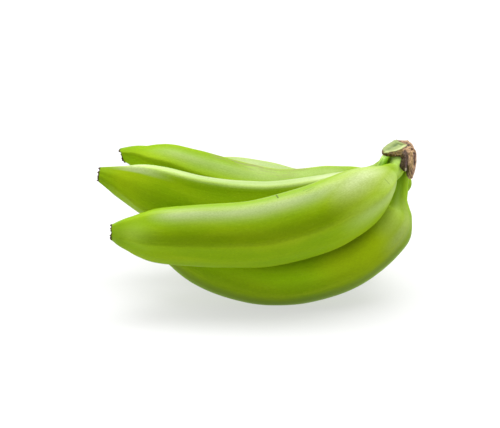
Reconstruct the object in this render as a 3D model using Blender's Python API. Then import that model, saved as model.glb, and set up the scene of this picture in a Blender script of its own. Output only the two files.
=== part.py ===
"""A hand of six unripe green bananas, lying on the curved backs of its lower row.

One crown carries two rows of three fruits.  Every fruit is a closed solid
lofted along its own bent centre line with a soft five-ridged section: a thin
neck at the crown, a full body, and a blunt tip.  The crown is a cut cushion
with a thick dried edge that hangs down behind the lower row's necks.

Units are metres, +Z is up.  X runs along the fruits, from the tips (-X) to the
crown (+X); Y runs from the front fruit to the back fruit.  The origin is under
the middle of the whole hand, on the surface that it lies on.
"""
import math

import bmesh
import bpy
import numpy as np
from mathutils import Vector

# ---------------------------------------------------------------- dimensions
MM = 0.001                      # the tables below are in millimetres
ORIGIN = (3.7, 49.2, 0.0)       # where the tables' zero lies, seen from the hand's middle (mm, subtracted)
GAP = 0.36                      # clearance between a neck and the crown
RINGS = 28                      # cross-sections along one fruit
SIDES = 20                      # points round one cross-section
LEAN = 14.0                     # a breadth is measured across this tilt from the vertical, in degrees
FLOOR = 0.0                     # height of the surface; the two lowest bellies are pressed flat on it
CORNER = 10.0                   # rounding of the ridges, in degrees round the section
RIDGE = 0.62                    # 0 = round section, 1 = straight faces between the ridges

# Each station: x, y, z of the centre line and the half breadth there, from
# inside the crown to the tip.  "ridges" are the angles of the five ridges round
# the section (0 = towards -Y, 90 = up), "tip_turn" and "neck_turn" twist them
# near the ends, "depth" is the thickness compared with the breadth, and
# "tip_aim" is the way that the blunt end faces.
FRUITS = {
    "finger_front_upper": dict(
        stations=[(90.9, 13.2, 90, 2.6), (90.5, 12.4, 88.8, 3.4), (89.6, 11, 87, 4.2), (88.7, 9.9, 85, 4.5), (87.8, 7.8, 82, 5),
                  (82.4, 3.2, 79.3, 6.9), (77, -3.5, 76.1, 11.5), (67.2, -13, 71, 17.2), (53, -21, 64.8, 19.6),
                  (38, -25, 59, 20.5), (9.5, -28, 52, 20.1), (-6.5, -28, 50.5, 19.1), (-34, -26, 49.5, 17.9),
                  (-56, -24, 49, 15.8), (-64.5, -23, 49.2, 13), (-70.2, -22.5, 49.5, 10.4), (-76.5, -22, 49.8, 7.5),
                  (-80.4, -21, 50, 5.1)],
        ridges=(-6, 62, 130, 205, 278), tip_turn=0, neck_turn=-30, depth=0.96, tip_aim=(-1, 0, 0)),
    "finger_front_lower": dict(
        stations=[(92.6, 23, 82, 5), (92, 21.5, 76, 5.2), (91.5, 19.8, 71, 5.4), (91.1, 18.3, 66.5, 5.5),
                  (90.2, 16.4, 61, 6.0), (89.6, 14.7, 57.2, 7.9), (88.5, 13, 53.5, 11.2), (85.4, 10.7, 49, 16),
                  (77.8, 8, 41.3, 18), (68.2, 5, 34.5, 19.2), (57, 2, 29, 20.5), (37.5, 0, 22.8, 21),
                  (14, 0, 19.8, 20.9), (-7.5, 1, 22.9, 20.1), (-25, 3, 28.4, 18.8), (-40.5, 5, 35.6, 15.5),
                  (-52.5, 7, 41.5, 10.4), (-60, 9, 46, 5.2)],
        ridges=(-25, 48, 122, 196, 268), tip_turn=0, neck_turn=0, depth=0.96, tip_aim=(-0.8, 0.1, 0.6)),
    "finger_middle_upper": dict(
        stations=[(83.1, 10.6, 90, 2), (81.6, 10.9, 88, 2.5), (80.7, 12.9, 85, 2.8), (79.8, 18, 80.8, 3.5),
                  (77.6, 27.5, 75.2, 5.4), (71, 35.6, 65.4, 11.8), (59, 36.7, 57.4, 17.2), (43.5, 36, 51.5, 20),
                  (12.5, 34, 48, 20.2), (-2.5, 33, 48.5, 20.2), (-19, 34, 50, 19.8), (-35, 36, 53, 19),
                  (-47, 37, 56.6, 18.1), (-59.5, 38, 60.8, 16.8), (-69, 39, 64, 14.6), (-81.5, 39, 67.6, 9.9),
                  (-87.8, 38.5, 69.7, 7.2), (-93.7, 38, 71.8, 4.8)],
        ridges=(60, 130, 198, 265, 327), tip_turn=30, neck_turn=0, depth=0.93, tip_aim=(-1, 0, 0.12)),
    "finger_middle_lower": dict(
        stations=[(94.8, 36.5, 79.5, 5), (94.3, 37, 75, 5), (94.4, 39.5, 70.2, 5.0), (95.8, 42, 65.3, 5.9),
                  (93.4, 44, 61, 5.6), (90.3, 46, 54.5, 7.8), (86, 50, 43, 12.4), (77, 53, 33, 15.6), (62, 54, 24, 16.7),
                  (42, 54, 17.8, 16.9), (19, 54, 15.9, 17), (0, 54, 17.9, 16.4), (-17.5, 55.5, 23.9, 14.5),
                  (-32.5, 56, 31.4, 11.5), (-42.5, 57, 37, 7.5), (-49.5, 58, 41, 5)],
        ridges=(-22, 50, 124, 196, 268), tip_turn=0, neck_turn=0, depth=0.94, tip_aim=(-0.8, 0.1, 0.6)),
    "finger_back_upper": dict(
        stations=[(92, 46, 89, 4), (89.3, 46, 82.8, 3.9), (85.6, 46.5, 77.6, 3.9), (81.2, 48.5, 72.6, 4.6),
                  (76.4, 53, 67, 7), (68.5, 62.5, 60.8, 12.1), (55, 73, 53.4, 17.2), (36, 80.5, 47.5, 19.1),
                  (19, 84, 46, 19.5), (2.5, 85, 47.9, 19.8), (-14, 85, 51.9, 19.7), (-28.5, 85, 56.3, 19.3),
                  (-40, 84, 60.4, 18.6), (-53.5, 83, 66.4, 16.2), (-62.5, 82, 69.4, 13.7), (-69, 81, 71.6, 10.8),
                  (-75.6, 80, 74.1, 7.8), (-82.8, 79, 75.8, 5.1)],
        ridges=(27, 100, 172, 243, 315), tip_turn=14, neck_turn=0, depth=0.91, tip_aim=(-1, 0, -0.42)),
    "finger_back_lower": dict(
        stations=[(98, 50.5, 84, 3.7), (95.8, 53.5, 79.5, 4), (91, 57.5, 74, 4.2), (85.5, 64.5, 67.5, 4.8),
                  (80.5, 75.5, 60.5, 7), (74.8, 91, 52.5, 11.2), (65, 107, 45.5, 16), (48, 119, 40, 18.2),
                  (30, 126, 37.8, 18.7), (10, 128, 42.1, 18.9), (-12, 128, 45.5, 18.8), (-24, 127, 46.5, 17.6),
                  (-36, 126, 48, 14.5), (-46, 125, 51, 10), (-53.5, 123, 54, 6.5), (-58.5, 122, 56, 4.9)],
        ridges=(20, 92, 164, 236, 308), tip_turn=0, neck_turn=0, depth=0.92, tip_aim=(-1, -0.1, 0.4)),
}

# The crown, as cross-sections at Y: left and right edge, top, underside of the
# pad, inner face and underside of the thick right part, and the lower end of
# the dried lip that hangs outside it.
CROWN = [
    # y,  left, right, top, pad_under, wall_in, wall_under, lip_end
    (6.6, 82, 98, 92, 89.6, 91, 86.5, 85.5),
    (7.4, 80.6, 98.6, 92.5, 89.5, 91, 85.5, 84.5),
    (10, 79.6, 99, 92.7, 89.3, 91, 84, 82.8),
    (14, 79.3, 100.3, 92.8, 89.0, 91.4, 82, 80.5),
    (19, 79.8, 101.1, 92.7, 88.6, 89.6, 79, 75.5),
    (28, 82.2, 101.6, 92.7, 87.4, 88.5, 77.5, 73.5),
    (38, 85.8, 102.2, 92.7, 86.8, 88.8, 77, 74),
    (47, 89.4, 102.4, 92.5, 86, 92.8, 79, 76),
    (55, 91.5, 102, 91, 84.5, 95.3, 81, 78.5),
    (57, 92.5, 101.4, 89.8, 85.2, 95.2, 82.3, 80.5),
]
SCOOP = 0.8                     # hollow of the cut face


# ---------------------------------------------------------------- fruit
def smooth_path(points, count):
    """Smooth curve through the stations, read at evenly spaced lengths."""
    p = np.array(points, float)
    p = np.vstack([2 * p[0] - p[1], p, 2 * p[-1] - p[-2]])
    out = []
    for i in range(1, len(p) - 2):
        a, b, c, d = p[i - 1:i + 3]
        ab = math.sqrt(np.linalg.norm((b - a)[:3]))
        bc = math.sqrt(np.linalg.norm((c - b)[:3]))
        cd = math.sqrt(np.linalg.norm((d - c)[:3]))
        m1 = (c - b) + bc * ((b - a) / ab - (c - a) / (ab + bc))
        m2 = (c - b) + bc * ((d - c) / cd - (d - b) / (bc + cd))
        for t in np.linspace(0, 1, 24, endpoint=False):
            out.append((2 * t**3 - 3 * t**2 + 1) * b + (t**3 - 2 * t**2 + t) * m1
                       + (3 * t**2 - 2 * t**3) * c + (t**3 - t**2) * m2)
    out.append(p[-2])
    out = np.array(out)
    run = np.concatenate([[0], np.cumsum(np.linalg.norm(np.diff(out[:, :3], axis=0), axis=1))])
    at = np.linspace(0, run[-1], count)
    return np.stack([np.interp(at, run, out[:, k]) for k in range(4)], 1), run[-1]


def outline(ridges, corner, ridge):
    """Radius of a soft five-ridged section at each whole degree, mean 1."""
    angle = np.radians(np.arange(360))
    corners = np.radians(np.sort(np.mod(ridges, 360)))
    r = np.ones(360)
    for i in range(len(corners)):
        a = corners[i]
        b = corners[(i + 1) % len(corners)] + (2 * math.pi if i == len(corners) - 1 else 0)
        t = np.mod(angle - a, 2 * math.pi)
        inside = t < (b - a)
        span = b - a
        r[inside] = math.sin(span) / (np.sin(t[inside]) + np.sin(span - t[inside]))
    k = np.arange(-60, 61)
    kernel = np.exp(-0.5 * (k / corner) ** 2)
    kernel /= kernel.sum()
    soft = sum(w * np.roll(r, s) for w, s in zip(kernel, k))
    soft /= soft.mean()
    return 1 + ridge * (soft - 1)


def section_points(centre, tangent, breadth, ridges, depth, corner, ridge, sides):
    """One ring of points round the centre line, sized by its breadth."""
    front = Vector((0, -1, 0)) - tangent * Vector((0, -1, 0)).dot(tangent)
    front.normalize()
    up = tangent.cross(front).normalized()
    r = outline(ridges, corner, ridge)
    angle = np.radians(np.arange(360))
    lean = math.radians(LEAN)
    across = r * np.sin(angle - lean)           # along the breadth
    along = r * np.cos(angle - lean) * depth    # along the thickness
    high, low = across.max(), across.min()
    scale = breadth / ((high - low) / 2)
    shift = -(high + low) / 2
    w = front * math.cos(lean) + up * math.sin(lean)
    u = up * math.cos(lean) - front * math.sin(lean)
    ring = []
    for i in range(sides):
        k = (i + 0.5) * 360.0 / sides
        a = float(np.interp(k, np.arange(361), np.append(across, across[0])))
        b = float(np.interp(k, np.arange(361), np.append(along, along[0])))
        ring.append(centre + u * ((a + shift) * scale) + w * (b * scale))
    return ring


def fruit_rings(spec, rings, sides, corner=CORNER, ridge=RIDGE):
    """All rings of one fruit from the neck to the tip, in millimetres."""
    path, length = smooth_path(spec["stations"], rings)
    tangents = np.gradient(path[:, :3], axis=0)
    tangents /= np.linalg.norm(tangents, axis=1)[:, None]
    aim = np.array(spec["tip_aim"], float) / np.linalg.norm(spec["tip_aim"])
    for i in range(rings):                      # the blunt end faces its own way
        w = min(1.0, max(0.0, (i / (rings - 1) - 0.94) / 0.06))
        tangents[i] = (1 - w) * tangents[i] + w * aim
        tangents[i] /= np.linalg.norm(tangents[i])
    out = []
    for i, (point, tan) in enumerate(zip(path, tangents)):
        s = i / (rings - 1)
        turn = spec["neck_turn"] * max(0.0, 1 - s / 0.25) ** 2 + spec["tip_turn"] * max(0.0, (s - 0.84) / 0.16) ** 2
        # the ridges fade on the thin neck
        strength = ridge * min(1.0, 0.45 + s * 2.5)
        ring = section_points(Vector(point[:3]), Vector(tan), point[3], np.array(spec["ridges"]) + turn,
                              spec["depth"], corner, strength, sides)
        out.append(ring)
    # blunt end: a narrow bevel round the dried tip
    end = Vector(path[-1][:3])
    tan = Vector(tangents[-1])
    out.append([end + (p - end) * 0.82 + tan * 0.9 for p in out[-1]])
    return out


def loft(rings, floor=None):
    """Closed mesh through the rings, with both ends filled."""
    bm = bmesh.new()
    grid = []
    for ring in rings:
        row = []
        for p in ring:
            z = p.z if floor is None else max(p.z, floor)
            row.append(bm.verts.new(((p.x - ORIGIN[0]) * MM, (p.y - ORIGIN[1]) * MM, (z - FLOOR) * MM)))
        grid.append(row)
    n = len(grid[0])
    for a, b in zip(grid, grid[1:]):
        for j in range(n):
            k = (j + 1) % n
            bm.faces.new((a[j], a[k], b[k], b[j]))
    bm.faces.new(list(reversed(grid[0])))
    bm.faces.new(grid[-1])
    bm.normal_update()
    bmesh.ops.triangulate(bm, faces=[f for f in bm.faces if len(f.verts) > 4])
    bmesh.ops.recalc_face_normals(bm, faces=bm.faces[:])
    return bm


# ---------------------------------------------------------------- crown
def crown_section(left, right, top, under, wall_in, wall_under, lip_end):
    """Outline of the crown across Y, anticlockwise from its lower left."""
    w = right - left
    return [
        (left + 1.3, under), (wall_in - 1.0, under), (wall_in, under - 1.0), (wall_in, wall_under + 1.5),
        (wall_in + 1.5, wall_under), (right - 4.4, wall_under), (right - 3.7, lip_end + 0.8),
        (right - 2.6, lip_end), (right - 1.6, lip_end + 1.2), (right - 0.4, (top + lip_end) / 2),
        (right, top - 4), (right - 1.6, top - 1.7), (right - min(5.2, 0.3 * w), top - 0.1),
        (left + 0.68 * w, top - SCOOP), (left + 0.36 * w, top - SCOOP), (left + 1.3, top - 0.1),
        (left, top - 1.2), (left, under + 1.2),
    ]


def crown_rings(grow=0.0):
    """Cross-sections of the crown from front to back; grow swells it evenly."""
    rings = []
    for i, row in enumerate(CROWN):
        y = row[0]
        if i == 0:
            y -= grow
        if i == len(CROWN) - 1:
            y += grow
        pts = [Vector(p) for p in crown_section(*row[1:])]
        n = len(pts)
        swollen = []
        for j, p in enumerate(pts):
            e1 = (p - pts[j - 1]).normalized()
            e2 = (pts[(j + 1) % n] - p).normalized()
            n1, n2 = Vector((e1.y, -e1.x)), Vector((e2.y, -e2.x))
            m = (n1 + n2).normalized()
            swollen.append(p + m * (grow / max(0.5, m.dot(n1))))
        rings.append([Vector((p.x, y, p.y)) for p in swollen])
    return rings


def material(name, colour, roughness):
    mat = bpy.data.materials.new(name)
    mat.use_nodes = True
    bsdf = mat.node_tree.nodes["Principled BSDF"]
    bsdf.inputs["Base Color"].default_value = (*colour, 1)
    bsdf.inputs["Roughness"].default_value = roughness
    bsdf.inputs["Metallic"].default_value = 0.0
    mat.diffuse_color = (*colour, 1)
    return mat


def add_object(name, bm, pivot, parent, mat):
    """Make the object with its origin at pivot (metres)."""
    bmesh.ops.translate(bm, verts=bm.verts[:], vec=-Vector(pivot))
    mesh = bpy.data.meshes.new(name)
    bm.to_mesh(mesh)
    bm.free()
    mesh.shade_smooth()
    mesh.materials.append(mat)
    obj = bpy.data.objects.new(name, mesh)
    bpy.context.scene.collection.objects.link(obj)
    obj.location = pivot
    obj.parent = parent
    return obj


def place(point):
    return Vector(((point[0] - ORIGIN[0]) * MM, (point[1] - ORIGIN[1]) * MM, (point[2] - FLOOR) * MM))


def main():
    for old in list(bpy.data.objects):
        bpy.data.objects.remove(old, do_unlink=True)

    hand = bpy.data.objects.new("banana_hand", None)
    bpy.context.scene.collection.objects.link(hand)

    skins = {
        "finger_front_upper": (0.36, 0.55, 0.05), "finger_front_lower": (0.25, 0.42, 0.02),
        "finger_middle_upper": (0.34, 0.52, 0.04), "finger_middle_lower": (0.27, 0.44, 0.02),
        "finger_back_upper": (0.38, 0.56, 0.06), "finger_back_lower": (0.42, 0.58, 0.09),
    }

    crown_at = place((94, 30, 84))
    crown_bm = loft(crown_rings())
    add_object("crown", crown_bm, crown_at, hand, material("dry_crown", (0.16, 0.09, 0.06), 0.8))

    # the same cushion, a little larger, clears the necks where they meet it
    clearance = add_object("crown_clearance", loft(crown_rings(GAP + 0.02)), crown_at, hand,
                           material("clearance", (0.5, 0.5, 0.5), 0.5))
    clearance.hide_render = True
    clearance.display_type = "WIRE"

    for name, spec in FRUITS.items():
        rings = fruit_rings(spec, RINGS, SIDES)
        bm = loft(rings, floor=FLOOR)
        obj = add_object(name, bm, place(spec["stations"][1][:3]), hand,
                         material(name.replace("finger", "skin"), skins[name], 0.38))
        cut = obj.modifiers.new("neck_end", "BOOLEAN")
        cut.operation = "DIFFERENCE"
        cut.solver = "EXACT"
        cut.object = clearance

    bpy.context.view_layer.update()


main()
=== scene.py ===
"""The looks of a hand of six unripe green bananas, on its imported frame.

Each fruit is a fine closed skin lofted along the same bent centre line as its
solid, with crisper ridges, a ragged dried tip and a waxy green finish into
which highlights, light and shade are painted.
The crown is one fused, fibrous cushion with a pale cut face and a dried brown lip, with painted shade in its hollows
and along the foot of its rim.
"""
import math

import bpy
import numpy as np
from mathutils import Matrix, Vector, noise


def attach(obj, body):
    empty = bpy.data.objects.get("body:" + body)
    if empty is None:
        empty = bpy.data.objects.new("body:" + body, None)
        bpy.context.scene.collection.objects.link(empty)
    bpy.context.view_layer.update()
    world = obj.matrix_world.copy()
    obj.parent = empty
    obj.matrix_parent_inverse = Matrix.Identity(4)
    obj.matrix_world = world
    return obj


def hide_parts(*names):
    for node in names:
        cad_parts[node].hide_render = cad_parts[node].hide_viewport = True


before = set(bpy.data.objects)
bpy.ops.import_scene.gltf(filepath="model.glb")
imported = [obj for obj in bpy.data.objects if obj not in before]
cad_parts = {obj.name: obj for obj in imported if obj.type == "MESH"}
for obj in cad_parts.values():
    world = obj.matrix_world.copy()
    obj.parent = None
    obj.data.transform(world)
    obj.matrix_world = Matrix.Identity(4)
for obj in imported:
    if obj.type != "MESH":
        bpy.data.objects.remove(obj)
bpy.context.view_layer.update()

# ---------------------------------------------------------------- dimensions
MM = 0.001
ORIGIN = np.array((3.7, 49.2, 0.0))   # the tables' zero, seen from the hand's middle (mm)
LEAN = 14.0                           # a breadth is measured across this tilt from the vertical
RINGS = 250                           # cross-sections along one skin
SIDES = 120                           # points round one cross-section
RIDGE = 0.62                          # 0 = round section, 1 = straight faces between the ridges

# Stations: x, y, z of the centre line and the half breadth there (mm), from
# inside the crown to the tip.  "crisp" says how sharp each of the five ridges is.
# The bands after them paint light into the colour: multipliers that paint shade
# where fruits meet or turn from the light and paint light on lit faces, whitish
# painted highlights, and a yellower tint painted on lit faces.
FRUITS = {
    "front_upper": dict(
        stations=[(90.9, 13.2, 89.5, 1.2), (90.5, 12.4, 88.5, 2.7), (89.6, 11, 87, 4.2), (88.7, 9.9, 85, 4.5), (87.8, 7.8, 82, 5),
                  (82.4, 3.2, 79.3, 6.9), (77, -3.5, 76.1, 11.5), (67.2, -13, 71, 17.2), (53, -21, 64.8, 19.6),
                  (38, -25, 59, 20.5), (9.5, -28, 52, 20.1), (-6.5, -28, 50.5, 19.1), (-34, -26, 49.5, 17.9),
                  (-56, -24, 49, 15.8), (-64.5, -23, 49.2, 13), (-70.2, -22.5, 49.5, 10.4), (-76.5, -22, 49.8, 7.5),
                  (-80.4, -21, 50, 5.1)],
        ridges=(-6, 62, 130, 205, 278), crisp=(0.85, 0.35, 0.3, 0.3, 0.3),
        light_and_shade_bands=[(25, 40, 0.84, 0.95, 1.26), (52, 22, 0.16, 0.34, 1.14), (-22, 24, 0.08, 0.36, 1.08),
               (57, 30, -0.2, 0.03, 1.5), (14, 22, 0.03, 0.09, 1.32),
               (20, 400, -0.2, 0.03, 2.2), (-40, 30, 0.1, 0.3, 1.1), (6, 17, 0.3, 0.92, 0.60, -5), (-30, 24, 0.1, 0.35, 1.06)],
        painted_highlight=[(57, 14, 0.12, 0.85, 1.0), (48, 26, 0.14, 0.31, 1.25), (50, 60, -0.1, 0.05, 1.0), (-20, 22, 0.1, 0.3, 0.46),
               (20, 30, 0.9, 0.96, 0.2), (12, 24, 0.05, 0.2, 0.6)], warm=[(30, 50, 0.08, 0.34, 0.9)],
        tip_turn=0, neck_turn=-30, depth=0.96, tip_aim=(-1, 0, 0), seed=3),
    "front_lower": dict(
        stations=[(92.6, 23, 82, 5), (92, 21.5, 76, 5.2), (91.5, 19.8, 71, 5.4), (91.1, 18.3, 66.5, 5.5),
                  (90.2, 16.4, 61, 6.0), (89.6, 14.7, 57.2, 7.9), (88.5, 13, 53.5, 11.2), (85.4, 10.7, 49, 16),
                  (77.8, 8, 41.3, 18), (68.2, 5, 34.5, 19.2), (57, 2, 29, 20.5), (37.5, 0, 22.8, 21),
                  (14, 0, 19.8, 20.9), (-7.5, 1, 22.9, 20.1), (-25, 3, 28.4, 18.8), (-40.5, 5, 35.6, 15.5),
                  (-52.5, 7, 41.5, 10.4), (-60, 9, 46, 5.2)],
        ridges=(-25, 48, 122, 196, 268), crisp=(0.35, 0.3, 0.3, 0.3, 0.3),
        light_and_shade_bands=[(55, 22, 0.22, 0.95, 0.60), (34, 11, 0.27, 0.82, 0.66), (-2, 12, 0.38, 0.62, 1.18),
               (6, 20, 0.2, 0.9, 1.3), (-50, 22, 0.2, 1.0, 0.62), (20, 400, 0.02, 0.12, 1.36),
               (8, 18, 0.11, 0.18, 1.22), (-32, 18, 0.08, 0.15, 0.84)],
        painted_highlight=[(6, 26, 0.15, 0.22, 0.35), (-24, 16, 0.14, 0.24, 0.55), (8, 20, 0.1, 0.18, 0.45)], warm=[(10, 50, 0.14, 0.45, 1.0)],
        tip_turn=0, neck_turn=0, depth=0.96, tip_aim=(-0.8, 0.1, 0.6), seed=11),
    "middle_upper": dict(
        stations=[(83.1, 10.6, 90, 2), (81.6, 10.9, 88, 2.5), (80.7, 12.9, 85, 2.8), (79.8, 18, 80.8, 3.5),
                  (77.6, 27.5, 75.2, 5.4), (71, 35.6, 65.4, 11.8), (59, 36.7, 57.4, 17.2), (43.5, 36, 51.5, 20),
                  (12.5, 34, 48, 20.2), (-2.5, 33, 48.5, 20.2), (-19, 34, 50, 19.8), (-35, 36, 53, 19),
                  (-47, 37, 56.6, 18.1), (-59.5, 38, 60.8, 16.8), (-69, 39, 64, 14.6), (-81.5, 39, 67.6, 9.9),
                  (-87.8, 38.5, 69.7, 7.2), (-93.7, 38, 71.8, 4.8)],
        ridges=(60, 130, 198, 265, 327), crisp=(1.0, 0.4, 0.3, 0.4, 0.75),
        painted_highlight=[(88, 45, 0.1, 0.94, 1.0, 57), (78, 30, 0.84, 0.93, 1.5, 56), (66, 26, 0.85, 0.94, 1.6, 46), (78, 30, 0.16, 0.36, 1.25, 57),
               (40, 40, -0.2, 0.03, 2.0)], warm=[(10, 50, 0.86, 1.0, 0.8)],
        light_and_shade_bands=[(10, 60, 0.88, 0.97, 1.15), (25, 60, -0.2, 0.04, 3.2), (-70, 35, -0.2, 0.04, 0.4),
               (80, 45, 0.78, 0.92, 1.2), (92, 45, 0.25, 0.7, 0.97), (-14, 20, -0.2, 0.05, 1.22)],
        tip_turn=30, neck_turn=0, depth=0.93, tip_aim=(-1, 0, 0.12), seed=23),
    "middle_lower": dict(
        stations=[(94.8, 36.5, 79.5, 5), (94.3, 37, 75, 5), (94.4, 39.5, 70.2, 5.0), (95.8, 42, 65.3, 5.9),
                  (93.4, 44, 61, 5.6), (90.3, 46, 54.5, 7.8), (86, 50, 43, 12.4), (77, 53, 33, 15.6), (62, 54, 24, 16.7),
                  (42, 54, 17.8, 16.9), (19, 54, 15.9, 17), (0, 54, 17.9, 16.4), (-17.5, 55.5, 23.9, 14.5),
                  (-32.5, 56, 31.4, 11.5), (-42.5, 57, 37, 7.5), (-49.5, 58, 41, 5)],
        ridges=(-22, 50, 124, 196, 268), crisp=(0.4, 0.4, 0.4, 0.4, 0.4),
        tip_turn=0, neck_turn=0, depth=0.94, tip_aim=(-0.8, 0.1, 0.6), seed=37),
    "back_upper": dict(
        stations=[(92, 46, 89, 4), (89.3, 46, 82.8, 3.9), (85.6, 46.5, 77.6, 3.9), (81.2, 48.5, 72.6, 4.6),
                  (76.4, 53, 67, 7), (68.5, 62.5, 60.8, 12.1), (55, 73, 53.4, 17.2), (36, 80.5, 47.5, 19.1),
                  (19, 84, 46, 19.5), (2.5, 85, 47.9, 19.8), (-14, 85, 51.9, 19.7), (-28.5, 85, 56.3, 19.3),
                  (-40, 84, 60.4, 18.6), (-53.5, 83, 66.4, 16.2), (-62.5, 82, 69.4, 13.7), (-69, 81, 71.6, 10.8),
                  (-75.6, 80, 74.1, 7.8), (-82.8, 79, 75.8, 5.1)],
        ridges=(27, 100, 172, 243, 315), crisp=(0.8, 0.6, 0.3, 0.3, 0.4),
        light_and_shade_bands=[(50, 25, 0.25, 0.9, 0.9), (-20, 35, 0.84, 1.1, 1.6), (72, 40, 0.1, 0.62, 1.12), (60, 30, 0.84, 0.96, 1.15)],
        painted_highlight=[(62, 18, 0.2, 0.9, 0.5), (78, 24, 0.2, 0.62, 0.6)],
        scuffs=[(0.36, 0.74, 97, 92, 7, 0.9), (0.4, 0.66, 76, 78, 14, 0.5)],
        tip_turn=14, neck_turn=0, depth=0.91, tip_aim=(-1, 0, -0.42), seed=41),
    "back_lower": dict(
        stations=[(98, 50.5, 84, 3.7), (95.8, 53.5, 79.5, 4), (91, 57.5, 74, 4.2), (85.5, 64.5, 67.5, 4.8),
                  (80.5, 75.5, 60.5, 7), (74.8, 91, 52.5, 11.2), (65, 107, 45.5, 16), (48, 119, 40, 18.2),
                  (30, 126, 37.8, 18.7), (10, 128, 42.1, 18.9), (-12, 128, 45.5, 18.8), (-24, 127, 46.5, 17.6),
                  (-36, 126, 48, 14.5), (-46, 125, 51, 10), (-53.5, 123, 54, 6.5), (-58.5, 122, 56, 4.9)],
        ridges=(20, 92, 164, 236, 308), crisp=(0.4, 0.5, 0.4, 0.4, 0.4), painted_highlight=[(70, 35, 0.2, 0.95, 1.1)],
        tip_turn=0, neck_turn=0, depth=0.92, tip_aim=(-1, -0.1, 0.4), seed=59),
}


def smoothstep(a, b, x):
    t = np.clip((np.asarray(x, float) - a) / (b - a), 0, 1)
    return t * t * (3 - 2 * t)


def perlin(points, scale, seed, octaves=2):
    """Smooth noise, about -1 to 1, at points (n x 3, mm); scale is the feature size in mm."""
    off = Vector((seed * 17.3, seed * 5.7, seed * 9.1))
    return np.array([noise.fractal(Vector(p) / scale + off, 1.0, 2.0, octaves) for p in points])


# ---------------------------------------------------------------- fruit
def smooth_path(points, count):
    """Smooth curve through the stations, read at evenly spaced lengths."""
    p = np.array(points, float)
    p = np.vstack([2 * p[0] - p[1], p, 2 * p[-1] - p[-2]])
    out = []
    for i in range(1, len(p) - 2):
        a, b, c, d = p[i - 1:i + 3]
        ab = math.sqrt(np.linalg.norm((b - a)[:3]))
        bc = math.sqrt(np.linalg.norm((c - b)[:3]))
        cd = math.sqrt(np.linalg.norm((d - c)[:3]))
        m1 = (c - b) + bc * ((b - a) / ab - (c - a) / (ab + bc))
        m2 = (c - b) + bc * ((d - c) / cd - (d - b) / (bc + cd))
        for t in np.linspace(0, 1, 24, endpoint=False):
            out.append((2 * t**3 - 3 * t**2 + 1) * b + (t**3 - 2 * t**2 + t) * m1
                       + (3 * t**2 - 2 * t**3) * c + (t**3 - t**2) * m2)
    out.append(p[-2])
    out = np.array(out)
    run = np.concatenate([[0], np.cumsum(np.linalg.norm(np.diff(out[:, :3], axis=0), axis=1))])
    at = np.linspace(0, run[-1], count)
    return np.stack([np.interp(at, run, out[:, k]) for k in range(4)], 1), run[-1]


def pentagon(ridges, corner):
    """Radius of a section with straight faces and rounded ridges at each whole degree, mean 1."""
    angle = np.radians(np.arange(360))
    corners = np.radians(np.sort(np.mod(ridges, 360)))
    r = np.ones(360)
    for i in range(len(corners)):
        a = corners[i]
        b = corners[(i + 1) % len(corners)] + (2 * math.pi if i == len(corners) - 1 else 0)
        t = np.mod(angle - a, 2 * math.pi)
        inside = t < (b - a)
        span = b - a
        r[inside] = math.sin(span) / (np.sin(t[inside]) + np.sin(span - t[inside]))
    k = np.arange(-60, 61)
    kernel = np.exp(-0.5 * (k / corner) ** 2)
    kernel /= kernel.sum()
    soft = sum(w * np.roll(r, s) for w, s in zip(kernel, k))
    return soft / soft.mean()


def apart(a, b):
    """Angle between two directions round the section, in degrees, 0 to 180."""
    return np.abs((np.asarray(a) - b + 180) % 360 - 180)


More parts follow.
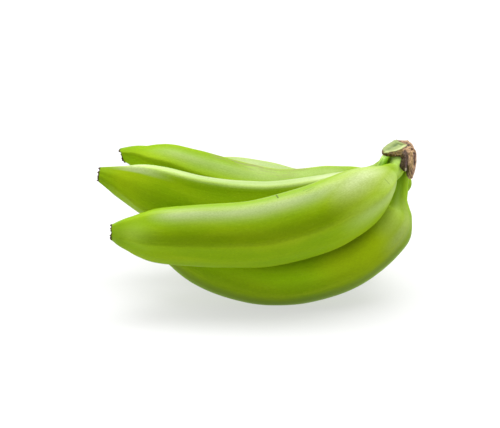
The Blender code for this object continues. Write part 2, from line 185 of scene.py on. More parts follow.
def fruit_skin(spec):
    """Grid of skin points (rings x sides x 3, mm) with what is needed to paint them."""
    path, length = smooth_path(spec["stations"], RINGS)
    tangents = np.gradient(path[:, :3], axis=0)
    tangents /= np.linalg.norm(tangents, axis=1)[:, None]
    aim = np.array(spec["tip_aim"], float) / np.linalg.norm(spec["tip_aim"])
    degrees = np.arange(360)
    widths = (12.0, 7.5, 4.5, 2.6)
    profiles = np.array([pentagon(spec["ridges"], w) for w in widths])
    base_crisp = np.zeros(360)
    for ridge, crisp in zip(spec["ridges"], spec["crisp"]):
        base_crisp = np.maximum(base_crisp, crisp * np.exp(-(apart(degrees, ridge) / 26.0) ** 2))
    theta = (np.arange(SIDES) + 0.5) * 360.0 / SIDES
    lean = math.radians(LEAN)
    grid = np.zeros((RINGS, SIDES, 3))
    local = np.zeros((RINGS, SIDES))
    frames = []
    for i in range(RINGS):
        s = i / (RINGS - 1)
        w = min(1.0, max(0.0, (s - 0.94) / 0.06))
        tan = (1 - w) * tangents[i] + w * aim
        tan /= np.linalg.norm(tan)
        turn = spec["neck_turn"] * max(0.0, 1 - s / 0.25) ** 2 + spec["tip_turn"] * max(0.0, (s - 0.84) / 0.16) ** 2
        # ridges fade on the neck and sharpen towards the tip
        level = np.clip(base_crisp * (0.55 + 0.45 * smoothstep(0.1, 0.3, s)) + 0.1 * smoothstep(0.8, 0.97, s), 0, 1)
        pick = level * (len(widths) - 1)
        low = np.minimum(pick.astype(int), len(widths) - 2)
        mix = pick - low
        r = profiles[low, degrees] * (1 - mix) + profiles[low + 1, degrees] * mix
        strength = RIDGE * min(1.0, 0.45 + s * 2.5) * (1 - 0.3 * float(smoothstep(0.9, 0.99, s)))
        strength = strength * (1 + 0.45 * level)
        r = 1 + strength * (r - 1)
        r = np.interp(np.mod(degrees - turn, 360), np.arange(361), np.append(r, r[0]))
        front = np.array((0.0, -1.0, 0.0)) + tan * tan[1]
        front /= np.linalg.norm(front)
        up = np.cross(tan, front)
        up /= np.linalg.norm(up)
        angle = np.radians(degrees)
        across = r * np.sin(angle - lean)
        along = r * np.cos(angle - lean) * spec["depth"]
        high, lowest = across.max(), across.min()
        scale = path[i, 3] / ((high - lowest) / 2)
        shift = -(high + lowest) / 2
        wv = front * math.cos(lean) + up * math.sin(lean)
        uv = up * math.cos(lean) - front * math.sin(lean)
        a = np.interp(theta, np.arange(361), np.append(across, across[0]))
        b = np.interp(theta, np.arange(361), np.append(along, along[0]))
        grid[i] = path[i, :3] + uv * ((a + shift) * scale)[:, None] + wv * (b * scale)[:, None]
        local[i] = theta - turn
        frames.append((path[i, :3], tan, uv, wv))
    return grid, local, length, frames


def grid_normals(grid):
    du = np.gradient(grid, axis=0)
    dv = np.roll(grid, -1, axis=1) - np.roll(grid, 1, axis=1)
    n = np.cross(dv, du)
    n /= np.maximum(np.linalg.norm(n, axis=2), 1e-9)[..., None]
    return n


def write_mesh(name, verts, faces, material, floats=None, vectors=None, colours=None):
    mesh = bpy.data.meshes.new(name)
    mesh.from_pydata([tuple(v) for v in (verts - ORIGIN) * MM], [], faces)
    mesh.update()
    for key, values in (floats or {}).items():
        mesh.attributes.new(key, "FLOAT", "POINT").data.foreach_set("value", np.asarray(values, np.float32).ravel())
    for key, values in (vectors or {}).items():
        mesh.attributes.new(key, "FLOAT_VECTOR", "POINT").data.foreach_set(
            "vector", np.asarray(values, np.float32).ravel())
    for key, values in (colours or {}).items():
        mesh.attributes.new(key, "FLOAT_COLOR", "POINT").data.foreach_set(
            "color", np.asarray(values, np.float32).ravel())
    mesh.shade_smooth()
    mesh.materials.append(material)
    obj = bpy.data.objects.new(name, mesh)
    bpy.context.scene.collection.objects.link(obj)
    return obj


def band(s, local, angle, width, s0, s1, above=None):
    """Soft patch of skin: full between s0 and s1 along the fruit, falling away to both sides of an angle.

    With "above", the patch ends at the ridge of that angle.
    """
    inside = smoothstep(s0 - 0.08, s0 + 0.08, s) * (1 - smoothstep(s1 - 0.06, s1 + 0.06, s))
    if above is not None:
        inside = inside * smoothstep(-2.5, 2.5, (local - above + 180) % 360 - 180)
    return inside * np.exp(-(apart(local, angle) / width) ** 2)


def build_fruit(name, spec, material):
    grid, local, length, frames = fruit_skin(spec)
    seed = spec["seed"]
    s = np.linspace(0, 1, RINGS)[:, None] * np.ones((1, SIDES))
    along = s * length
    normals = grid_normals(grid)
    flat = grid.reshape(-1, 3)

    # the skin is never quite even: broad soft waves, and long shallow creases near both ends
    wave = perlin(flat * (0.6, 1, 1), 26.0, seed, 2).reshape(RINGS, SIDES)
    small = perlin(flat * (0.5, 1, 1), 8.0, seed + 1, 2).reshape(RINGS, SIDES)
    body = smoothstep(0.03, 0.2, s) * (1 - smoothstep(0.9, 1.0, s))
    rng = np.random.default_rng(seed)
    crease = np.zeros_like(s)
    for k, size in ((4, 1.0), (7, 0.8), (11, 0.35)):
        crease += size * np.sin(np.radians(local) * k + rng.uniform(0, 6.28) + 1.5 * s * rng.uniform(-1, 1))
    tip_near = smoothstep(0.88, 0.985, s)
    neck_near = 1 - smoothstep(0.05, 0.17, s)
    push = (0.28 * wave + 0.05 * small) * body + crease * (0.045 * tip_near + 0.05 * neck_near)
    grid = grid + normals * push[..., None]
    low = grid[..., 2]
    grid[..., 2] = 0.5 * (low + np.sqrt(low * low + 0.03))

    # distance from the nearest ridge
    near = np.min(np.stack([apart(local, r) for r in spec["ridges"]]), axis=0)
    edge = np.exp(-(near / 5.5) ** 2)
    # painted light and shade: colour multipliers that paint shade where fruits meet, above a ridge and on undersides,
    # and paint light on faces that catch it and on the shaded necks
    painted_light_shade = np.ones_like(s)
    for angle, width, s0, s1, gain, *above in spec.get("light_and_shade_bands", ()):
        painted_light_shade *= 1 + (gain - 1) * band(s, local, angle, width, s0, s1, *above)
    # painted highlights: paler whitish patches along the faces and necks that the light catches
    painted_highlight = np.zeros_like(s)
    for angle, width, s0, s1, amount, *above in spec.get("painted_highlight", ()):
        painted_highlight = np.maximum(painted_highlight, amount * band(s, local, angle, width, s0, s1, *above))
    # painted light: a yellower tint on faces where the light falls
    warm = np.zeros_like(s)
    for angle, width, s0, s1, amount in spec.get("warm", ()):
        warm = np.maximum(warm, amount * band(s, local, angle, width, s0, s1))
    tip = smoothstep(0.93, 1.0, s)
    neck = 1 - smoothstep(0.0, 0.2, s)
    scar = np.zeros_like(s)

    # blunt dried end: ragged rim, then a hollow
    centre, aim, uv, wv = frames[-1]
    last = grid[-1]
    angle = np.radians((np.arange(SIDES) + 0.5) * 360.0 / SIDES)
    ragged = np.zeros(SIDES)
    for k in (3, 5, 8, 13, 21):
        ragged += np.sin(k * angle + rng.uniform(0, 6.28)) * rng.uniform(0.5, 1.0) / math.sqrt(k)
    ragged /= np.abs(ragged).max()
    caps = [(0.995, 0.15, 0.1, 0.3), (0.97, 0.5, 0.5, 1.0), (0.91, 1.0, 1.0, 1.0), (0.82, 0.9, 1.0, 1.0),
            (0.72, -0.1, 0.35, 1.0), (0.55, -0.6, 0.2, 1.0), (0.36, -0.4, 0.25, 1.0), (0.18, -0.1, 0.1, 1.0)]
    rows = [grid[i] for i in range(RINGS)]
    for scale, out, rough, mask in caps:
        rows.append(centre + (last - centre) * (scale + 0.05 * rough * ragged[:, None])
                    + aim * (out + rough * 0.9 * ragged)[:, None])
    verts = np.concatenate(rows)
    total = len(rows)
    extra = len(caps)

    def extend(field, values):
        return np.concatenate([field, np.repeat(np.array(values, float)[:, None], SIDES, 1)]).ravel()

    edge = extend(edge, [0.0] * extra)
    tip = extend(tip, [1.0] * extra)
    painted_light_shade = extend(painted_light_shade, [1.0] * extra)
    painted_highlight = extend(painted_highlight, [0.0] * extra)
    warm = extend(warm, [0.0] * extra)
    neck = extend(neck, [0.0] * extra)
    scar = extend(scar, [c[3] for c in caps])
    along = extend(along, [length + 0.6 * (k + 1) for k in range(extra)])
    around = np.radians(np.concatenate([local, np.repeat(local[-1:], extra, 0)])).ravel()
    skin = np.stack([along / 10.0, np.cos(around) * 2.0, np.sin(around) * 2.0], 1)   # centimetres

    faces = []
    for i in range(total - 1):
        for j in range(SIDES):
            k = (j + 1) % SIDES
            faces.append((i * SIDES + j, i * SIDES + k, (i + 1) * SIDES + k, (i + 1) * SIDES + j))
    first = len(verts)
    verts = np.vstack([verts, grid[0].mean(0), rows[-1].mean(0)])
    for j in range(SIDES):
        k = (j + 1) % SIDES
        faces.append((k, j, first))
        faces.append(((total - 1) * SIDES + j, (total - 1) * SIDES + k, first + 1))
    add = lambda a, x, y: np.append(a, [x, y])
    scuff = np.zeros(len(verts))
    for mark in spec.get("scuffs", ()):
        s0, s1, t0, t1, wide, amount = mark
        here = np.append((np.concatenate([s, np.ones((extra, SIDES)) * 2]).ravel()), [2, 2])
        line = t0 + (t1 - t0) * np.clip((here - s0) / (s1 - s0), 0, 1)
        spot = np.append(np.degrees(around), [0, 0])
        inside = smoothstep(s0 - 0.02, s0 + 0.03, here) * (1 - smoothstep(s1 - 0.03, s1 + 0.02, here))
        scuff = np.maximum(scuff, amount * inside * np.exp(-(apart(spot, line) / wide) ** 2))
    obj = write_mesh(
        "banana_" + name, verts, faces, material,
        floats=dict(edge=add(edge, 0, 0), painted_light_shade=add(painted_light_shade, 1, 1), painted_highlight=add(painted_highlight, 0, 0),
                    warm=add(warm, 0, 0), tip=add(tip, 0, 1), neck=add(neck, 1, 0), scar=add(scar, 0, 1), scuff=scuff),
        vectors=dict(skin=np.vstack([skin, (0, 0, 0), (length / 10, 0, 0)])))
    return obj


# ---------------------------------------------------------------- materials
def linear(r, g, b):
    """sRGB 0-255 to linear."""
    out = []
    for c in (r, g, b):
        c = c / 255.0
        out.append(c / 12.92 if c <= 0.04045 else ((c + 0.055) / 1.055) ** 2.4)
    return tuple(out)


class Tree:
    """Small helper that adds nodes to one material."""

    def __init__(self, name):
        self.mat = bpy.data.materials.new(name)
        self.mat.use_nodes = True
        self.nt = self.mat.node_tree
        self.bsdf = self.nt.nodes["Principled BSDF"]

    def node(self, kind, inputs=None, **props):
        n = self.nt.nodes.new(kind)
        for k, v in props.items():
            setattr(n, k, v)
        for k, v in (inputs or {}).items():
            self.put(n.inputs[k], v)
        return n

    def put(self, socket, value):
        if isinstance(value, bpy.types.NodeSocket):
            self.nt.links.new(value, socket)
        elif isinstance(value, tuple) and len(value) == 3 and socket.type == "RGBA":
            socket.default_value = (*value, 1.0)
        else:
            socket.default_value = value

    def math(self, op, a, b=0.0, clamp=False):
        n = self.node("ShaderNodeMath", {0: a, 1: b}, operation=op, use_clamp=clamp)
        return n.outputs[0]

    def spread(self, value, lo, hi, to_lo=0.0, to_hi=1.0):
        n = self.node("ShaderNodeMapRange", {0: value, 1: lo, 2: hi, 3: to_lo, 4: to_hi},
                      interpolation_type="SMOOTHSTEP")
        return n.outputs[0]

    def mix(self, fac, a, b, kind="MIX"):
        n = self.node("ShaderNodeMix", data_type="RGBA", blend_type=kind, clamp_factor=True)
        self.put(n.inputs[0], fac)
        self.put(n.inputs[6], a)
        self.put(n.inputs[7], b)
        return n.outputs[2]

    def attribute(self, name, vector=False):
        n = self.node("ShaderNodeAttribute", attribute_name=name)
        return n.outputs["Vector" if vector else "Fac"]

    def stretch(self, vector, scale, offset=(0.0, 0.0, 0.0)):
        n = self.node("ShaderNodeMapping", {"Vector": vector, "Scale": scale, "Location": offset})
        return n.outputs[0]

    def noise(self, vector, scale, detail=2.0, rough=0.5, distortion=0.0):
        n = self.node("ShaderNodeTexNoise", {"Vector": vector, "Scale": scale, "Detail": detail,
                                             "Roughness": rough, "Distortion": distortion})
        return n.outputs[0]

    def bump(self, height, distance, strength=1.0, normal=None):
        n = self.node("ShaderNodeBump", {"Height": height, "Distance": distance, "Strength": strength})
        if normal is not None:
            self.nt.links.new(normal, n.inputs["Normal"])
        return n.outputs[0]


def skin_material(name, seed, warm=0.0, marks=()):
    """Waxy unripe skin: green with yellower clouds, lengthwise streaks, pores, scuffs and dried ends, with painted
    highlights, painted light and shade and a yellower tint painted on lit faces.
    """
    t = Tree(name)
    skin = t.attribute("skin", True)
    shift = (seed * 3.1, seed * 1.7, seed * 0.9)
    clouds = t.noise(t.stretch(skin, (0.35, 1.0, 1.0), shift), 0.55, 3.0, 0.55)
    streaks = t.noise(t.stretch(skin, (0.12, 2.2, 2.2), shift), 2.6, 3.0, 0.6)
    fine = t.noise(t.stretch(skin, (0.5, 1.0, 1.0), shift), 16.0, 3.0, 0.65)
    pores = t.noise(t.stretch(skin, (0.7, 1.0, 1.0), shift), 7.0, 1.0, 0.5)

    deep = (0.262, 0.452, 0.003)
    mid = (0.300, 0.480, 0.004)
    yellow = (0.350, 0.510, 0.005)
    colour = t.mix(t.spread(clouds, 0.36, 0.66), deep, mid)
    colour = t.mix(t.spread(clouds, 0.52 - warm, 0.82 - warm), colour, yellow)
    colour = t.mix(t.spread(streaks, 0.35, 0.7, 0.0, 0.14), colour, (0.36, 0.55, 0.02))
    colour = t.mix(t.spread(pores, 0.62, 0.74, 0.0, 0.18), colour, (0.42, 0.60, 0.03))
    # painted light: yellower tint on lit faces
    colour = t.mix(t.math("MULTIPLY", t.attribute("warm"), 0.6), colour, (0.375, 0.485, 0.006))
    # painted highlight: a paler, whitish tint on the faces the light catches, finely mottled
    highlight_mix = t.math("MULTIPLY", t.attribute("painted_highlight"), t.spread(t.math("ADD", t.math("MULTIPLY", clouds, 0.7),
                                                                  t.math("MULTIPLY", fine, 0.3)), 0.3, 0.6, 0.24, 0.42))
    colour = t.mix(highlight_mix, colour, (0.82, 0.87, 0.64))
    edge = t.attribute("edge")
    colour = t.mix(t.math("MULTIPLY", edge, t.spread(streaks, 0.3, 0.7, 0.08, 0.34)), colour, (0.44, 0.60, 0.025))
    tip = t.attribute("tip")
    colour = t.mix(t.math("MULTIPLY", tip, 0.4), colour, (0.17, 0.34, 0.006))
    neck = t.attribute("neck")
    colour = t.mix(t.math("MULTIPLY", neck, 0.35), colour, (0.26, 0.50, 0.03))
    # painted light and shade: the colour is scaled by the painted light and shade bands and by a fine random mottle
    colour = t.node("ShaderNodeVectorMath", {0: colour, "Scale": t.math(
        "MULTIPLY", t.math("MULTIPLY", t.attribute("painted_light_shade"), 0.78), t.spread(fine, 0.3, 0.7, 0.93, 1.07))}, operation="SCALE").outputs[0]

    # brown-grey scuffs, broken up lengthwise
    scuff = t.attribute("scuff")
    broken = t.spread(t.noise(t.stretch(skin, (0.3, 3.0, 3.0), shift), 3.0, 4.0, 0.7), 0.42, 0.62)
    scuffed = t.math("MULTIPLY", scuff, broken, True)
    colour = t.mix(scuffed, colour, (0.26, 0.24, 0.12))
    # a few small brown specks
    specks = t.spread(t.noise(t.stretch(skin, (0.6, 1.0, 1.0), shift), 4.2, 5.0, 0.75), 0.715, 0.74, 0.0, 0.5)
    colour = t.mix(specks, colour, (0.14, 0.12, 0.03))

    # dried end
    scar = t.attribute("scar")
    crust = t.noise(skin, 22.0, 4.0, 0.7)
    brown = t.mix(t.spread(crust, 0.4, 0.62), (0.030, 0.016, 0.009), (0.20, 0.13, 0.075))
    colour = t.mix(t.spread(scar, 0.25, 0.75), colour, brown)

    rough = t.spread(clouds, 0.3, 0.7, 0.36, 0.46)
    rough = t.math("ADD", rough, t.spread(fine, 0.3, 0.7, -0.03, 0.05))
    rough = t.math("ADD", rough, t.math("MULTIPLY", scuffed, 0.2))
    rough = t.math("MAXIMUM", rough, t.math("MULTIPLY", scar, 0.85))

    cut = None
    place = t.node("ShaderNodeTexCoord").outputs["Object"]
    for a, b, wide, amount in marks:
        a, b, wide = (np.array(a) - ORIGIN) * MM, (np.array(b) - ORIGIN) * MM, wide * MM
        ab = b - a
        span = float(ab @ ab)
        rel = t.node("ShaderNodeVectorMath", {0: place, 1: tuple(a)}, operation="SUBTRACT").outputs[0]
        dot = t.node("ShaderNodeVectorMath", {0: rel, 1: tuple(ab / span)}, operation="DOT_PRODUCT").outputs["Value"]
        part = t.math("ADD", dot, 0.0, True)
        foot = t.node("ShaderNodeVectorMath", {0: tuple(ab)}, operation="SCALE")
        t.put(foot.inputs["Scale"], part)
        gap = t.node("ShaderNodeVectorMath", {0: rel, 1: foot.outputs[0]}, operation="DISTANCE").outputs["Value"]
        line = t.spread(gap, wide * 0.35, wide, amount, 0.0)
        cut = line if cut is None else t.math("MAXIMUM", cut, line)
    if cut is not None:
        cut = t.math("MULTIPLY", cut, t.spread(fine, 0.3, 0.55, 0.35, 1.0))
        colour = t.mix(cut, colour, (0.085, 0.12, 0.018))

    height = t.math("ADD", t.math("MULTIPLY", streaks, 0.5), t.math("MULTIPLY", fine, 0.26))
    height = t.math("SUBTRACT", height, t.math("MULTIPLY", t.spread(pores, 0.62, 0.74), 0.12))
    height = t.math("ADD", height, t.math("MULTIPLY", t.math("MULTIPLY", crust, scar), 3.0))
    if cut is not None:
        height = t.math("SUBTRACT", height, t.math("MULTIPLY", cut, 0.5))
    normal = t.bump(height, 0.00028, 0.8)

    t.put(t.bsdf.inputs["Base Color"], colour)
    t.put(t.bsdf.inputs["Roughness"], rough)
    t.put(t.bsdf.inputs["Normal"], normal)
    t.bsdf.inputs["IOR"].default_value = 1.45
    t.bsdf.inputs["Specular IOR Level"].default_value = 0.02
    t.bsdf.inputs["Specular Tint"].default_value = (0.95, 1.0, 0.25, 1.0)
    t.bsdf.inputs["Coat Weight"].default_value = 0.03
    t.bsdf.inputs["Coat Roughness"].default_value = 0.3
    return t.mat


def crown_material():
    """Dried, fibrous crown: the painted base colour broken by fine fibres."""
    t = Tree("crown_finish")
    place = t.node("ShaderNodeTexCoord").outputs["Object"]
    paint = t.node("ShaderNodeAttribute", attribute_name="paint").outputs["Color"]
    dry = t.attribute("dry")
    fibres = t.noise(t.stretch(place, (1.0, 1.0, 0.16)), 2600.0, 4.0, 0.7)
    grain = t.noise(place, 2200.0, 4.0, 0.7)
    colour = t.mix(t.math("MULTIPLY", t.spread(fibres, 0.38, 0.52, 0.85, 0.0), dry), paint, (0.035, 0.020, 0.014))
    colour = t.mix(t.math("MULTIPLY", t.spread(fibres, 0.54, 0.68, 0.0, 0.6), dry), colour, (0.62, 0.45, 0.28))
    colour = t.mix(t.spread(grain, 0.3, 0.5, 0.16, 0.0), colour, (0.10, 0.14, 0.03))
    height = t.math("ADD", t.math("MULTIPLY", t.math("MULTIPLY", fibres, dry), 1.0), t.math("MULTIPLY", grain, 0.3))
    t.put(t.bsdf.inputs["Base Color"], colour)
    t.put(t.bsdf.inputs["Roughness"], t.spread(dry, 0.0, 1.0, 0.5, 0.78))
    t.put(t.bsdf.inputs["Normal"], t.bump(height, 0.0006, 0.8))
    t.bsdf.inputs["Specular IOR Level"].default_value = 0.2
    return t.mat


# ---------------------------------------------------------------- crown
CROWN = [
    # y,  left, right, top, pad_under, wall_in, wall_under, lip_end
    (6.4, 81.6, 95, 92.2, 89.8, 91.8, 87, 86.5),
    (6.9, 80.4, 96, 92.6, 89.6, 91.8, 86, 85.5),
    (10, 79.4, 98.6, 92.8, 89.4, 91.8, 84, 83),
    (14, 79.3, 100.3, 92.8, 89.2, 91.4, 82, 80.5),
    (19, 79.8, 101.1, 92.7, 88.8, 89.6, 79, 75.5),
    (28, 82.2, 101.6, 92.7, 87.4, 88.5, 77.5, 73.5),
    (38, 85.8, 102.2, 92.7, 86.8, 88.8, 77, 74),
    (47, 89.4, 102.4, 92.5, 86, 92.8, 79, 76),
    (55, 91.5, 102, 91, 84.5, 95.3, 81, 78.5),
    (57, 92.5, 101.4, 89.8, 85.2, 95.7, 82.3, 80.5),
]
SCOOP = 0.8


def crown_section(left, right, top, under, wall_in, wall_under, lip_end):
    w = right - left
    a = min(wall_in + 1.5, right - 1.8)
    b = max(right - 4.4, a + 0.1)
    return [
        (left + 1.3, under), (wall_in - 1.0, under), (wall_in, under - 1.0), (wall_in, wall_under + 1.5),
        (a, wall_under), (b, wall_under), (max(right - 3.7, b + 0.1), lip_end + 0.8),
        (max(right - 2.6, b + 0.2), lip_end), (max(right - 1.6, b + 0.3), lip_end + 1.2),
        (right - 0.4, (top + lip_end) / 2),
        (right, top - 4), (right - 1.6, top - 1.7), (right - min(5.2, 0.3 * w), top - 0.1),
        (left + 0.68 * w, top - SCOOP), (left + 0.36 * w, top - SCOOP), (left + 1.3, top - 0.1),
        (left, top - 1.2), (left, under + 1.2),
    ]


def even(points, count):
    """Closed outline read at evenly spaced lengths."""
    p = np.array(points, float)
    p = np.vstack([p, p[0]])
    run = np.concatenate([[0], np.cumsum(np.linalg.norm(np.diff(p, axis=0), axis=1))])
    at = np.linspace(0, run[-1], count, endpoint=False)
    return np.stack([np.interp(at, run, p[:, k]) for k in range(p.shape[1])], 1)


def closed_loft(rings):
    """Vertices and faces of a closed body through rings of equal length (lists of n x 3)."""
    n = len(rings[0])
    verts = np.concatenate([*rings, [np.mean(rings[0], 0)], [np.mean(rings[-1], 0)]])
    faces = []
    for i in range(len(rings) - 1):
        for j in range(n):
            k = (j + 1) % n
            faces.append((i * n + j, i * n + k, (i + 1) * n + k, (i + 1) * n + j))
    a, b = len(verts) - 2, len(verts) - 1
    for j in range(n):
        k = (j + 1) % n
        faces.append((k, j, a))
        faces.append(((len(rings) - 1) * n + j, (len(rings) - 1) * n + k, b))
    return verts, faces


def slab(levels, count=40, power=2.6, seed=1):
    """Upright flap: superellipse sections (z, cx, cy, half x, half y, turn) from top to bottom."""
    rings = []
    for z, cx, cy, hx, hy, turn in levels:
        a = np.linspace(0, 2 * math.pi, count, endpoint=False)
        x = hx * np.sign(np.cos(a)) * np.abs(np.cos(a)) ** (2 / power)
        y = hy * np.sign(np.sin(a)) * np.abs(np.sin(a)) ** (2 / power)
        c, s = math.cos(math.radians(turn)), math.sin(math.radians(turn))
        rings.append(np.stack([cx + x * c - y * s, cy + x * s + y * c, np.full(count, z)], 1))
    return closed_loft(rings)


def build_crown(material):
    table = np.array(CROWN)
    ys = np.linspace(table[0, 0], table[-1, 0], 60)
    rings = []
    for y in ys:
        row = [np.interp(y, table[:, 0], table[:, k]) for k in range(1, 8)]
        ring = even(crown_section(*row), 96)
        for _ in range(3):
            ring = (np.roll(ring, 1, 0) + 2 * ring + np.roll(ring, -1, 0)) / 4
        rings.append(np.stack([ring[:, 0], np.full(len(ring), y), ring[:, 1]], 1))
    parts = [closed_loft(rings)]
    # dark lobe and fibrous strand that hang at the front right
    parts.append(slab([(91.8, 93.0, 11.5, 2.4, 4.0, 0), (90, 92.9, 9.0, 2.4, 3.6, 0), (88.3, 92.5, 6.4, 1.9, 3.0, 0),
                       (86.5, 92.0, 4.6, 1.9, 2.6, 0), (85.4, 91.7, 3.9, 2.1, 2.4, 0), (84.0, 91.7, 3.6, 2.2, 2.1, 0),
                       (83.0, 92.1, 3.7, 1.8, 1.8, 0), (82.2, 92.6, 4.2, 1.5, 1.6, 0), (81.4, 92.7, 4.6, 1.1, 1.1, 0)]))
    parts.append(slab([(92.6, 96.6, 15.5, 3.2, 6.0, 0), (90, 97.2, 14.2, 3.2, 5.2, 0), (86, 97.5, 13.6, 2.9, 4.6, 0),
                       (82, 97.3, 13.6, 2.8, 4.2, 0), (78.4, 97.1, 14.0, 2.3, 3.6, 0), (76.2, 97.1, 14.2, 1.9, 2.8, 0),
                       (74.8, 97.5, 14.4, 1.0, 1.8, 0)]))
    verts, faces, base = [], [], 0
    for v, f in parts:
        verts.append(v)
        faces += [tuple(i + base for i in face) for face in f]
        base += len(v)
    rough = write_mesh("crown_rough", np.concatenate(verts), faces, material)
    mod = rough.modifiers.new("fuse", "REMESH")
    mod.mode = "VOXEL"
    mod.voxel_size = 0.00036
    dg = bpy.context.evaluated_depsgraph_get()
    mesh = bpy.data.meshes.new_from_object(rough.evaluated_get(dg))
    bpy.data.objects.remove(rough)
    count = len(mesh.vertices)
    co = np.zeros(count * 3)
    mesh.vertices.foreach_get("co", co)
    co = co.reshape(-1, 3) / MM + ORIGIN
    no = np.zeros(count * 3)
    mesh.vertex_normals.foreach_get("vector", no)
    no = no.reshape(-1, 3)
    x, y, z = co.T

    # where the pale cut face ends and the dried lip begins, from front to back
    wander = perlin(co * (1, 1, 0.3), 2.4, 5, 3)
    border = np.interp(y, [8, 10.5, 12, 17.4, 23, 28, 31, 38, 46, 57],
                       [83.0, 85.2, 87.8, 91.2, 94.0, 95.8, 96.6, 95.0, 92.8, 92]) + 0.45 * wander
    top = smoothstep(0.35, 0.7, no[:, 2]) * smoothstep(89.8, 90.6, z)
    cut = top * (1 - smoothstep(-0.3, 0.3, x - border)) * smoothstep(79.9, 80.6, x + 0.3 * wander)
    beyond = np.clip(x - border, 0, None)
    co[:, 2] -= smoothstep(0.2, 0.6, no[:, 2]) * smoothstep(88, 90, z) * smoothstep(34, 20, y) * np.minimum(
        0.30 * beyond, 1.5)

    # brown, fibrous side on the right; olive rim elsewhere
    brown_side = smoothstep(92.0, 93.6, x + 0.5 * wander)
    under = smoothstep(0.2, 0.7, -no[:, 2]) * (1 - brown_side)
    dip = np.zeros(count)
    for (ax, ay), (bx, by) in (((83, 16), (88.7, 30)), ((88.7, 30), (92, 39)), ((92, 39), (94.2, 33))):
        dx, dy = bx - ax, by - ay
        part = np.clip(((x - ax) * dx + (y - ay) * dy) / (dx * dx + dy * dy), 0, 1)
        gap = np.hypot(x - ax - part * dx, (y - ay - part * dy) * 0.8)
        dip = np.maximum(dip, np.exp(-(gap / 1.3) ** 2) * (0.55 if ay < 20 else 1.0))
    facet = smoothstep(-3.4, -1.6, x - border) * smoothstep(36, 31, y)

    flow = np.stack([x - border, 0.16 * y, 0.08 * z], 1)
    columns = perlin(flow, 0.85, 7, 3)
    folds = perlin(flow, 2.8, 9, 2)
    lumps = perlin(co, 5.0, 13, 2)
    grit = perlin(co, 0.9, 15, 2)
    dried = (1 - cut) * (1 - under)
    push = 0.2 * lumps + dried * brown_side * (0.3 * folds + 0.32 * columns)
    push += dried * (1 - brown_side) * (0.28 * columns + 0.15 * folds)
    push += cut * (-0.9 * dip + 0.25 * facet + 0.08 * grit) + (1 - cut) * 0.08 * grit
    co = co + no * push[:, None]

    dark = np.array(linear(54, 36, 34))
    purple = np.array(linear(142, 112, 114))
    tan = np.array(linear(236, 198, 138))
    pink = np.array(linear(184, 146, 122))
    olive = np.array(linear(126, 104, 26))
    olive_dark = np.array(linear(56, 44, 12))
    green = np.array(linear(140, 170, 60))
    pale = np.array(linear(134, 150, 80))
    light = np.array(linear(168, 180, 112))
    painted_dip_shade = np.array(linear(88, 110, 44))
    cream = np.array(linear(226, 212, 176))

    def lerp(a, b, w):
        return a * (1 - w)[:, None] + b * w[:, None]

    streak = smoothstep(-0.35, 0.45, columns)
    speckle = smoothstep(-0.3, 0.4, perlin(co * (1, 1, 0.6), 1.1, 17, 2))
    # painted shade: the olive rim is darker towards its bottom
    rim = lerp(np.tile(olive_dark, (count, 1)), olive, (0.35 * streak + 0.65 * speckle) * smoothstep(89.2, 90.2, z))
    rim = lerp(rim, green, under * 0.6 * smoothstep(14, 18, y))
    brown = lerp(np.tile(dark, (count, 1)), pink, smoothstep(-0.5, -0.1, columns))
    middle = np.exp(-((x - np.interp(z, [74, 80, 86, 92], [96.2, 96.6, 97.4, 97.4])) / 1.7) ** 2)
    brown = lerp(brown, tan, smoothstep(-0.15, 0.3, columns + 0.3 * folds) * (0.25 + 0.75 * middle))
    on_top = smoothstep(0.3, 0.6, no[:, 2]) * smoothstep(89, 91, z)
    brown = lerp(brown, lerp(np.tile(dark, (count, 1)), np.array(linear(190, 152, 110)), smoothstep(-0.4, 0.05, columns)),
                 0.8 * on_top)
    brown = lerp(brown, np.tile(np.array(linear(70, 48, 30)), (count, 1)), 0.85 * on_top * np.exp(-((x - border - 0.8) / 0.5) ** 2))
    brown = lerp(brown, np.tile(dark, (count, 1)), 0.55 * smoothstep(100.0, 101.2, x) * smoothstep(20, 12, y))
    lobe = (1 - smoothstep(93.6, 94.6, x)) * (1 - smoothstep(14, 17, y))
    brown = lerp(brown, lerp(np.tile(dark, (count, 1)), purple, 0.3 + 0.7 * streak), lobe)
    # painted shadow: near-black in the hollow between the dark lobe and the fibrous strand
    painted_gap_shadow = np.exp(-((x - np.interp(z, [74, 80, 84, 92], [94.6, 94.3, 94.0, 94.3])) / np.interp(z, [82, 86], [1.2, 0.8])) ** 2) * (1 - smoothstep(14, 20, y))
    brown = lerp(brown, np.tile(np.array((0.012, 0.008, 0.007)), (count, 1)), painted_gap_shadow)
    shade = smoothstep(91.0, 92.0, x) * (1 - smoothstep(93.8, 95.2, x + 0.4 * columns)) * (1 - smoothstep(13, 16, y)) * smoothstep(
        86.5, 88, z) * (1 - smoothstep(9, 11, y) * smoothstep(91.4, 92.2, z))
    brown = lerp(brown, np.tile(np.array(linear(72, 50, 42)), (count, 1)), 0.85 * shade)
    rim = lerp(rim, np.tile(np.array(linear(60, 44, 24)), (count, 1)), 0.8 * shade)
    nib = lobe * (1 - smoothstep(83.6, 84.1, z)) * (1 - smoothstep(93.2, 93.7, x))
    brown = lerp(brown, cream, nib)
    # painted light and shade on the cut face: the raised facet is painted lighter and the dip darker and duller, on top
    # of their real rise and dip
    face = lerp(np.tile(pale, (count, 1)), light, facet)
    face = lerp(face, painted_dip_shade, np.clip(dip * 1.1, 0, 1))
    colour = lerp(rim, brown, brown_side)
    colour = lerp(colour, face, cut)
    dry = np.clip(1 - cut - 0.7 * under - nib - painted_gap_shadow * (z < 84), 0, 1)

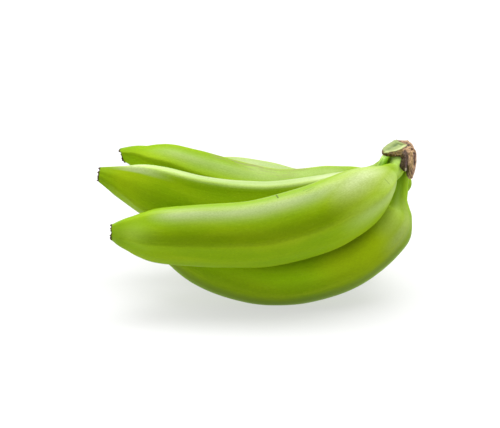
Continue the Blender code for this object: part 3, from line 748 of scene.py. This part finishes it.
    mesh.vertices.foreach_set("co", ((co - ORIGIN) * MM).ravel())
    mesh.update()
    mesh.attributes.new("paint", "FLOAT_COLOR", "POINT").data.foreach_set(
        "color", np.hstack([colour, np.ones((count, 1))]).astype(np.float32).ravel())
    mesh.attributes.new("dry", "FLOAT", "POINT").data.foreach_set("value", dry.astype(np.float32))
    mesh.shade_smooth()
    mesh.materials.clear()
    mesh.materials.append(material)
    obj = bpy.data.objects.new("banana_crown", mesh)
    bpy.context.scene.collection.objects.link(obj)
    return obj


# ---------------------------------------------------------------- the hand
# small nicks and scratches on the front fruit: both ends, width (mm) and strength
MARKS = {"front_upper": [
    ((15.1, -26.0, 73.9), (16.0, -33.6, 74.0), 0.7, 0.95),
    ((13.9, -31.3, 74.1), (14.7, -33.0, 73.9), 0.5, 0.5),
    ((30.5, -31.8, 77.7), (35.5, -29.9, 79.3), 0.6, 0.45),
    ((32.2, -33.8, 77.5), (36.8, -31.6, 79.4), 0.6, 0.35),
    ((78.5, -17.7, 81.6), (81.1, -18.2, 78.7), 0.6, 0.5),
]}

for fruit, spec in FRUITS.items():
    piece = build_fruit(fruit, spec, skin_material("skin_" + fruit, spec["seed"], marks=MARKS.get(fruit, ())))
    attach(piece, "root")
    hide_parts("finger_" + fruit)

crown = build_crown(crown_material())
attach(crown, "root")
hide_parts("crown")


# ---------------------------------------------------------------- stage
def floor_material():
    t = Tree("pale_floor")
    t.bsdf.inputs["Base Color"].default_value = (0.30, 0.30, 0.30, 1)
    t.bsdf.inputs["Roughness"].default_value = 0.9
    t.bsdf.inputs["Specular IOR Level"].default_value = 0.0
    t.bsdf.inputs["Emission Color"].default_value = (1, 1, 1, 1)
    t.bsdf.inputs["Emission Strength"].default_value = 0.58
    return t.mat


bpy.ops.mesh.primitive_plane_add(size=14.0, location=(0, 2.0, -0.0002))
floor = bpy.context.object
floor.name = "floor"
floor.data.materials.append(floor_material())

world = bpy.data.worlds.new("studio")
bpy.context.scene.world = world
world.use_nodes = True
nt = world.node_tree
nt.nodes.clear()
coord = nt.nodes.new("ShaderNodeTexCoord")


def toward(direction):
    n = nt.nodes.new("ShaderNodeVectorMath")
    n.operation = "DOT_PRODUCT"
    nt.links.new(coord.outputs["Generated"], n.inputs[0])
    n.inputs[1].default_value = Vector(direction).normalized()
    return n.outputs["Value"]


def ramp(value, lo, hi, to_lo, to_hi):
    n = nt.nodes.new("ShaderNodeMapRange")
    n.interpolation_type = "SMOOTHSTEP"
    for key, v in zip((1, 2, 3, 4), (lo, hi, to_lo, to_hi)):
        n.inputs[key].default_value = v
    nt.links.new(value, n.inputs[0])
    return n.outputs[0]


def total(op, a, b):
    n = nt.nodes.new("ShaderNodeMath")
    n.operation = op
    nt.links.new(a, n.inputs[0])
    if isinstance(b, float):
        n.inputs[1].default_value = b
    else:
        nt.links.new(b, n.inputs[1])
    return n.outputs[0]


walls = ramp(toward((0, -1, 0)), -0.75, 0.8, 1.2, 0.03)        # pale room, dim behind the camera
right = ramp(toward((0.86, 0.0, 0.45)), 0.45, 0.95, 0.0, 0.6)
left = ramp(toward((-0.86, -0.1, 0.45)), 0.45, 0.95, 0.0, 0.75)
softbox = ramp(toward((0.14, 0.06, 0.98)), 0.82, 0.93, 0.0, 4.5)   # broad soft light overhead
softbox = total("ADD", softbox, total("ADD", right, left))
back = nt.nodes.new("ShaderNodeBackground")
nt.links.new(total("ADD", walls, softbox), back.inputs["Strength"])
back.inputs["Color"].default_value = (1, 1, 1, 1)
out = nt.nodes.new("ShaderNodeOutputWorld")
nt.links.new(back.outputs[0], out.inputs[0])

camera_data = bpy.data.cameras.new("camera")
camera = bpy.data.objects.new("camera", camera_data)
bpy.context.scene.collection.objects.link(camera)
camera_data.lens = 95.98
camera_data.sensor_width = 36.0
camera_data.clip_start, camera_data.clip_end = 0.05, 50
tilt = math.radians(14.0)
aim = Vector((-ORIGIN[0], -ORIGIN[1], 56.0)) * MM
camera.location = aim + Vector((0, -math.cos(tilt), math.sin(tilt))) * 0.8
camera.rotation_euler = (math.radians(90) - tilt, 0, 0)
bpy.context.scene.camera = camera
bpy.context.scene.view_settings.view_transform = "Standard"
